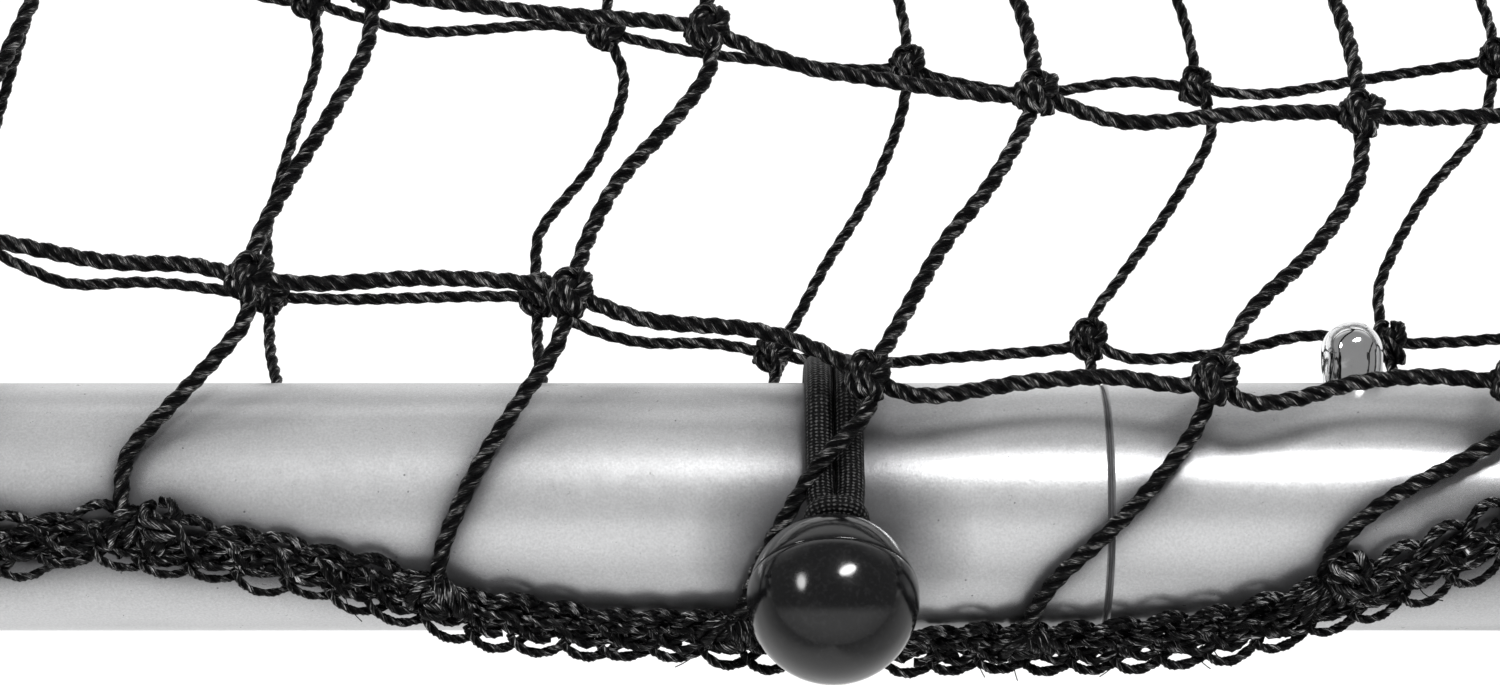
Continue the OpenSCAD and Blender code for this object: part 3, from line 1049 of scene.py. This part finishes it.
def stitch_ring(key, k, rng, count=20):
    """The round loop of a knitted stitch, which stands proud of the band."""
    wide, high = rng.uniform(0.4, 0.5), rng.uniform(1.6, 2.0)
    lean, lift = rng.uniform(-0.2, 0.2), rng.uniform(1.9, 2.3)
    start = rng.uniform(0, 2 * math.pi)
    path = []
    for n in range(count + 1):
        a = start + 1.9 * math.pi * n / count
        s = k + 0.5 + wide * math.cos(a) + lean * math.sin(a)
        across = high * math.sin(a) + 0.2
        path.append(band_place(key, s * STITCH, across, lift - 0.8 * abs(math.cos(a))))
    return path


def cross_strand(key, k, way, rng, count=14):
    """A strand that crosses a stitch from the band's upper edge to its lower one."""
    wide, high = rng.uniform(0.8, 1.3), rng.uniform(1.5, 2.1)
    path = []
    for n in range(count + 1):
        share = n / count
        s = k + 0.5 + way * (share - 0.5) * wide
        across = high * math.cos(math.pi * share)
        path.append(band_place(key, s * STITCH, across, 0.5 + 1.4 * math.sin(math.pi * share)))
    return path


def stitch_run(key, first, last, level, sway, phase, proud, per=6):
    """A bundle of yarn that weaves along the band."""
    path = []
    for n in range((last - first) * per + 1):
        s = first + n / per
        across = level + sway * math.sin(2 * math.pi * s * 0.5 + phase)
        lift = proud + 0.7 * math.sin(2 * math.pi * s + phase)
        path.append(band_place(key, s * STITCH, across, lift))
    return path


# The turns of twine that bind a string's end over a band: how far along the band each
# starts at the top and ends at the bottom, and how far it bulges between.
TIE_TURNS = (
    (-0.5, -2.4, -1.8), (0.5, 2.6, 2.0), (-0.9, 1.6, 1.4), (0.9, -1.2, -1.0),
    (0.1, 0.4, -0.4), (1.1, 4.6, 1.8), (-1.0, -4.2, -1.6),
)


def band_tie(key, angle, turns, count):
    """The twine's turns over an edge band, in one lump below the string tied to it."""
    paths = []
    for lap, (start, end, bulge) in enumerate(turns):
        path = []
        for n in range(count + 1):
            share = n / count
            along = start + (end - start) * share + bulge * math.sin(math.pi * share)
            across = 4.4 - (6.6 - 0.35 * lap) * share
            proud = 0.3 + (2.6 - 0.15 * lap) * math.sin(math.pi * (0.12 + share * 0.88))
            path.append(band_place(key, angle + along / ALONG, across, proud))
        paths.append(path)
    return paths


# The knot beside a tie: past this x it is a large one, a little along and up the band
LARGE_FROM = 80
LARGE_ALONG, LARGE_ACROSS, LARGE_PROUD = 3.5, 3.4, 2.0


def tie_knot(key, angle, end):
    """The knot at a string's end, on its tie."""
    if abs(end.x) > LARGE_FROM:
        lump = band_place(key, angle + LARGE_ALONG / ALONG, LARGE_ACROSS, LARGE_PROUD)
        return knot_bights(lump, turn=0.3, size=0.95, tall=1.0, step=TIE_KNOT_STEP)
    return knot_bights(end, turn=0.3, size=0.62, tall=1.0, step=TIE_KNOT_STEP)


def stray(key, rng):
    """A loose filament that sticks out of a band's lower edge."""
    s = rng.uniform(-NEAR_STITCHES + 2, NEAR_STITCHES - 2) * STITCH
    side, out = rng.uniform(-3.5, 3.5), rng.uniform(1.2, 3)
    path = []
    for n in range(7):
        share = n / 6
        along = s + side * share * share / ALONG
        path.append(band_place(key, along, -2.5 - out * share, 0.5 + 1.5 * share))
    return path


link_section = lobed("link_section", 0.68, 8, lobes=2, groove=0.3)
loop_section = lobed("loop_section", 0.8, 10, lobes=2, groove=0.35)
bundle_section = lobed("bundle_section", 1.05, 10, lobes=2, groove=0.3)
tie_section = lobed("tie_section", 0.95, 12, lobes=3, groove=0.3)
stray_section = lobed("stray_section", 0.1, 3)
coarse_section = lobed("coarse_section", 1.5, 5)
coarse_link_section = lobed("coarse_link_section", 0.8, 3)

# The bundles of yarn that run along a band: how far across, how far they sway, and when.
# The plainly drawn part has three of one sway.
BUNDLES = ((-1.3, 0.8, 0), (0.0, 1.4, 2.1), (1.0, 0.7, 4.0), (-0.4, 1.4, 5.2))
PLAIN_BUNDLES = ((-1.5, 0), (0.4, 2.0), (2.0, 4.0))
STRAY_COUNT = 9


def near_band(key, ties):
    """The finely drawn part of a band: chains, loops, bundles, ties and loose filaments."""
    rng = random.Random(11)
    chains, loops = [], []
    for k in range(-NEAR_STITCHES, NEAR_STITCHES):
        chains += stitch_links(key, k, rng)
        loops.append(stitch_ring(key, k, rng))
        for way in (-1, 1):
            loops.append(cross_strand(key, k + 0.5 * (way > 0), way, rng))
    bundles = [
        stitch_run(key, -NEAR_STITCHES, NEAR_STITCHES, level, sway, phase, 0.4)
        for level, sway, phase in BUNDLES
    ]
    return joined(
        drawn(chains, link_section, pitch=5.0),
        drawn(loops, loop_section, pitch=7.0),
        drawn(bundles, bundle_section, pitch=9.0),
        drawn(ties, tie_section, TWIST),
        drawn([stray(key, rng) for _ in range(STRAY_COUNT)], stray_section),
    )


def far_band(key, ties):
    """The rest of a band, plainly drawn: bundles, one chain and ties."""
    first, last = NEAR_STITCHES, STITCHES - NEAR_STITCHES
    bundles = [
        stitch_run(key, first, last, level, 0.9, phase, 0.7, per=3)
        for level, phase in PLAIN_BUNDLES
    ]
    links = [edge_link(key, k, -2.0, -2.2, 0.6, 1.2, 4) for k in range(first, last)]
    return joined(
        drawn(bundles, coarse_section),
        drawn(links, coarse_link_section),
        drawn(ties, coarse_section),
    )


for key, layer in LAYERS.items():
    near_ties, far_ties = [], []
    for angle, end, close in layer["tied"]:
        if close:
            near_ties += band_tie(key, angle, TIE_TURNS, 14) + tie_knot(key, angle, end)
        else:
            far_ties += band_tie(key, angle, TIE_TURNS[:3], 4)
    piece_from(near_band(key, near_ties), f"edge_band_{key}_front", yarn)
    plain = piece_from(far_band(key, far_ties), f"edge_band_{key}_round", yarn)
    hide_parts(f"edge_band_{key}")

# ---- Ball bungees ----

# The ball: its middle beside the rim, how far its pole is turned to face the neck, how far
# its cap reaches from there, and the cap's share of the ball's radius. The joint's outline:
# how many JOINT_STEPs past the cap's edge, and the share of the ball's radius.
BALL_R = 12.5
BALL_OUT, BALL_UP = 29.07, 27.1
NECK_TURN = math.radians(-98.5)
CAP_EDGE = math.radians(81)
CAP_R = 0.985
JOINT_STEP = 0.014
BALL_JOINT = (
    (-2.2, CAP_R), (-1, 0.98), (-0.6, 0.962), (0.6, 0.962), (1, 0.99), (2.2, 0.999),
)

# The cord, how far each of its two strands is from the middle of their pair, and the pair
# from the ball's middle
CORD_R = 2.2
STRAND_X = 2.2
CORD_SHIFT = 0.6
ON_TUBE = TUBE_R + CORD_R + 0.1
CORD_STEP, PLAIN_CORD_STEP = 0.9, 2.6

# Where round the tube, in degrees, the cord is on an edge band, over how wide a turn, and
# how far that lifts it
OVER_BANDS = ((205, 24), (352, 22))
OVER_BAND = 3.0

# The cord is pressed thinner by this share in the turn round its neck, over this share of
# its length
PRESSED = 0.26
PRESSED_SHARE = 0.035

# The sides with a joint in the tube have one bungee, and the others two
BUNGEES = [(side, x) for side in range(SIDES) for x in ((12,) if side % 2 == 0 else (-80, 80))]


def at_bungee(side, x):
    """Along the side, outwards and up, in millimetres from a bungee's middle."""
    return (
        Matrix.Rotation(side * TURN, 4, "Z")
        @ Matrix.Translation((x, -APOTHEM, RIM_Z))
        @ Matrix.Scale(-1, 4, (0, 1, 0))
    )


def ball_mesh():
    """A ball in two moulded halves, the cap a little smaller, with a joint between."""
    bm = bmesh.new()
    rest = math.pi - CAP_EDGE
    profile = [(CAP_EDGE * k / 14, CAP_R) for k in range(14)]
    profile += [(CAP_EDGE + at * JOINT_STEP, r) for at, r in BALL_JOINT]
    profile += [(CAP_EDGE + rest * k / 18, 1.0) for k in range(1, 19)]
    outline = [
        bm.verts.new((BALL_R * r * math.sin(a), 0, BALL_R * r * math.cos(a))) for a, r in profile
    ]
    edges = [bm.edges.new(pair) for pair in zip(outline, outline[1:])]
    return turned(bm, outline + edges, (0, 0, 1), 56)


def half_loop(s):
    """Half of a bungee's cord on the side s, from inside its ball to behind the ball."""
    x = s * STRAND_X
    points = [
        (x * 0.5, BALL_OUT - 8, BALL_UP - 1.0), (x * 0.7, 16.8, 25.2), (x, 9.5, 23.2),
        (x, 3.0, ON_TUBE + 0.1),
    ]
    for degrees in range(105, 351, 15):
        a = math.radians(degrees)
        lifted = sum(math.exp(-((degrees - at) / wide) ** 2) for at, wide in OVER_BANDS)
        r = ON_TUBE + OVER_BAND * lifted
        points.append((x, r * math.cos(a), r * math.sin(a)))
    points += [(x * 1.1, 23.6, 3.5), (x * 1.2, 19.8, 14.5), (x * 1.35, 16.6, 20.2)]
    points += [(x * 1.5, 15.2, 24.4), (x * 1.05, 14.6, 27.2)]
    return [(along + CORD_SHIFT, out, up) for along, out, up in points]


balls = []
loops, far_loops = [], []
ball_place = Matrix.Translation((0, BALL_OUT, BALL_UP)) @ Matrix.Rotation(-NECK_TURN, 4, "X")
for side, x in BUNGEES:
    place = at_bungee(side, x)
    balls.append(put(ball_mesh(), place @ ball_place))
    run = half_loop(-1) + [(CORD_SHIFT, 14.5, 28.0)] + half_loop(1)[::-1]
    run = [place @ Vector(point) for point in run]
    if side == 0:
        loops.append(smooth(run, CORD_STEP))
    else:
        far_loops.append(smooth(run, PLAIN_CORD_STEP))
ball_piece = piece_from(joined(*balls), "bungee_ball_set", ball_plastic)
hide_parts("bungee_balls")

cord_section = lobed("cord_section", CORD_R, 16)
plain_cord_section = lobed("plain_cord_section", CORD_R, 9)


def pressed(share):
    """How thick the cord is: thinner at the path's middle, in the turn round its neck."""
    return 1 - PRESSED * math.exp(-((share - 0.5) / PRESSED_SHARE) ** 2)


cords = joined(
    drawn(loops, cord_section, taper=pressed),
    drawn(far_loops, plain_cord_section, taper=pressed),
)
cord_piece = piece_from(cords, "bungee_loops", elastic)
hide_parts("bungee_cords")

# ---- Tube seams, with painted shade in their gaps ----

# A seam's place along its side, how far below the tube's surface its ring's outside and
# inside lie, and half of its width
SEAM_X = 54
SEAM_OUTSIDE, SEAM_INSIDE = 0.36, 1.2
SEAM_HALF = 0.17


def seam_ring(side):
    """A dark ring of painted shade in the groove between two tube ends."""
    bm = bmesh.new()
    inner, outer = TUBE_R - SEAM_INSIDE, TUBE_R - SEAM_OUTSIDE
    corners = ((inner, -1), (outer, -1), (outer, 1), (inner, 1))
    verts = [bm.verts.new((end * SEAM_HALF, 0, r)) for r, end in corners]
    edges = [bm.edges.new((verts[k], verts[(k + 1) % 4])) for k in range(4)]
    place = Matrix.Rotation(side * TURN, 4, "Z") @ Matrix.Translation((SEAM_X, -APOTHEM, RIM_Z))
    return put(turned(bm, verts + edges, (1, 0, 0), 96), place)


seams = joined(*(seam_ring(side) for side in range(0, SIDES, 2)))
piece_from(seams, "tube_seam_painted_shade", seam_painted_shade)

for shape in SECTIONS:
    bpy.data.curves.remove(shape.data)

# ---- Button springs ----


def button_leaf(number):
    """A copy of a button's spring, its doubles merged, in place of the imported one."""
    mesh = frame["nodes"][f"button_spring_{number}"].data.copy()
    merged = bmesh.new()
    merged.from_mesh(mesh)
    bmesh.ops.remove_doubles(merged, verts=merged.verts, dist=MERGE * MM)
    merged.to_mesh(mesh)
    merged.free()
    leaf = bpy.data.objects.new(f"button_leaf_{number}", mesh)
    scene.collection.objects.link(leaf)
    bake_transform(leaf)
    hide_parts(f"button_spring_{number}")


for joint in frame["joints"]:
    if joint["name"].startswith("button_press_"):
        button_leaf(joint["name"][-1])

# ---- Floor, light and world ----

floor_bm = bmesh.new()
bmesh.ops.create_grid(floor_bm, x_segments=1, y_segments=1, size=30)
floor_mesh = bpy.data.meshes.new("floor")
floor_bm.to_mesh(floor_mesh)
floor_bm.free()
floor = bpy.data.objects.new("floor", floor_mesh)
scene.collection.objects.link(floor)

# The floor's own light: where the camera sees it, where metal mirrors it, and how much
# less of that there is to both sides in front, from where to where, in metres
FLOOR_SEEN = 0.64
FLOOR_MIRRORED = 0.6
FLOOR_DULLER = 0.44
DULL_RIGHT = (0.09, 0.26)
DULL_LEFT = (-0.16, -0.6)
DULL_FRONT = (-0.15, -0.35)

paper = Finish("floor")
seen = paper.add("LightPath").outputs
bright = paper.math("MULTIPLY", seen["Is Camera Ray"], FLOOR_SEEN)
spread = paper.add("SeparateXYZ", Vector=paper.at).outputs
right = paper.fade(spread["X"], *DULL_RIGHT)
left = paper.fade(spread["X"], *DULL_LEFT)
beside = paper.math("MAXIMUM", right, left)
dull = paper.math("MULTIPLY", beside, paper.fade(spread["Y"], *DULL_FRONT))
glow = paper.math("SUBTRACT", FLOOR_MIRRORED, paper.math("MULTIPLY", dull, FLOOR_DULLER))
mirrored = paper.math("MULTIPLY", seen["Is Glossy Ray"], glow)
paper.set(
    Base_Color=(0.5, 0.5, 0.5, 1),
    Roughness=1.0,
    Specular_IOR_Level=0.0,
    Emission_Color=(1, 1, 1, 1),
    Emission_Strength=paper.math("ADD", bright, mirrored),
)
floor_mesh.materials.append(paper.material)

# A dim studio, white where the camera sees it: its strength, how much more where it is
# pale, and more on matt surfaces. It is pale on the camera's side, from NEAR_SIDE below the
# camera's own level and a little less low down, and low down on the far side.
STUDIO = 0.25
STUDIO_PALE = 0.8
STUDIO_FILL = 0.05
NEAR_SIDE = (-0.1, -0.26)
NEAR_SIDE_LOW = (0.0, 0.42, 0.5, 1.0)
FAR_SIDE = (0.5, 0.8)
FAR_SIDE_LOW = (0.62, 0.2)

world = bpy.data.worlds.new("studio")
scene.world = world
world.use_nodes = True
sky = Nodes(world.node_tree)
back = sky.tree.nodes["Background"]
back.inputs["Color"].default_value = (1, 1, 1, 1)
way = sky.add("TexCoord").outputs["Generated"]
tilt = sky.add("VectorMath", operation="DOT_PRODUCT")
sky.give(way, tilt.inputs[0])
tilt.inputs[1].default_value = (0, math.sin(CAMERA_RISE), math.cos(CAMERA_RISE))
along = sky.add("SeparateXYZ", Vector=way).outputs
near_low = sky.fade(along["Z"], *NEAR_SIDE_LOW)
near_side = sky.math("MULTIPLY", sky.fade(tilt.outputs["Value"], *NEAR_SIDE), near_low)
far_low = sky.fade(along["Z"], *FAR_SIDE_LOW)
far_side = sky.math("MULTIPLY", far_low, sky.fade(along["Y"], *FAR_SIDE))
pale = sky.math("MAXIMUM", near_side, far_side)
seen = sky.add("LightPath").outputs
studio = sky.math("ADD", sky.math("MULTIPLY", pale, STUDIO_PALE), STUDIO)
fill = sky.math("MULTIPLY", seen["Is Diffuse Ray"], STUDIO_FILL)
level = sky.math("MAXIMUM", sky.math("ADD", studio, fill), seen["Is Camera Ray"])
sky.give(level, back.inputs["Strength"])


def softbox(name, way, reach, wide, deep, watts):
    """A soft lamp, reach metres from the middle of the rim's front side, which it faces."""
    aim = Vector((0, -APOTHEM, RIM_Z)) * MM
    light = bpy.data.lights.new(name, "AREA")
    light.shape = "ELLIPSE"
    light.size, light.size_y = deep, wide
    light.energy = watts
    lamp = bpy.data.objects.new(name, light)
    lamp.location = aim + Vector(way).normalized() * reach
    lamp.rotation_euler = (-Vector(way)).to_track_quat("-Z", "Y").to_euler()
    lamp.visible_camera = False
    scene.collection.objects.link(lamp)


softbox("key", way=(0.30, 0.19, 0.94), reach=1.25, wide=0.50, deep=0.26, watts=10.4)
softbox("side", way=(-0.66, 0.0, 0.75), reach=1.25, wide=0.24, deep=0.42, watts=4)

scene.view_settings.view_transform = "Standard"
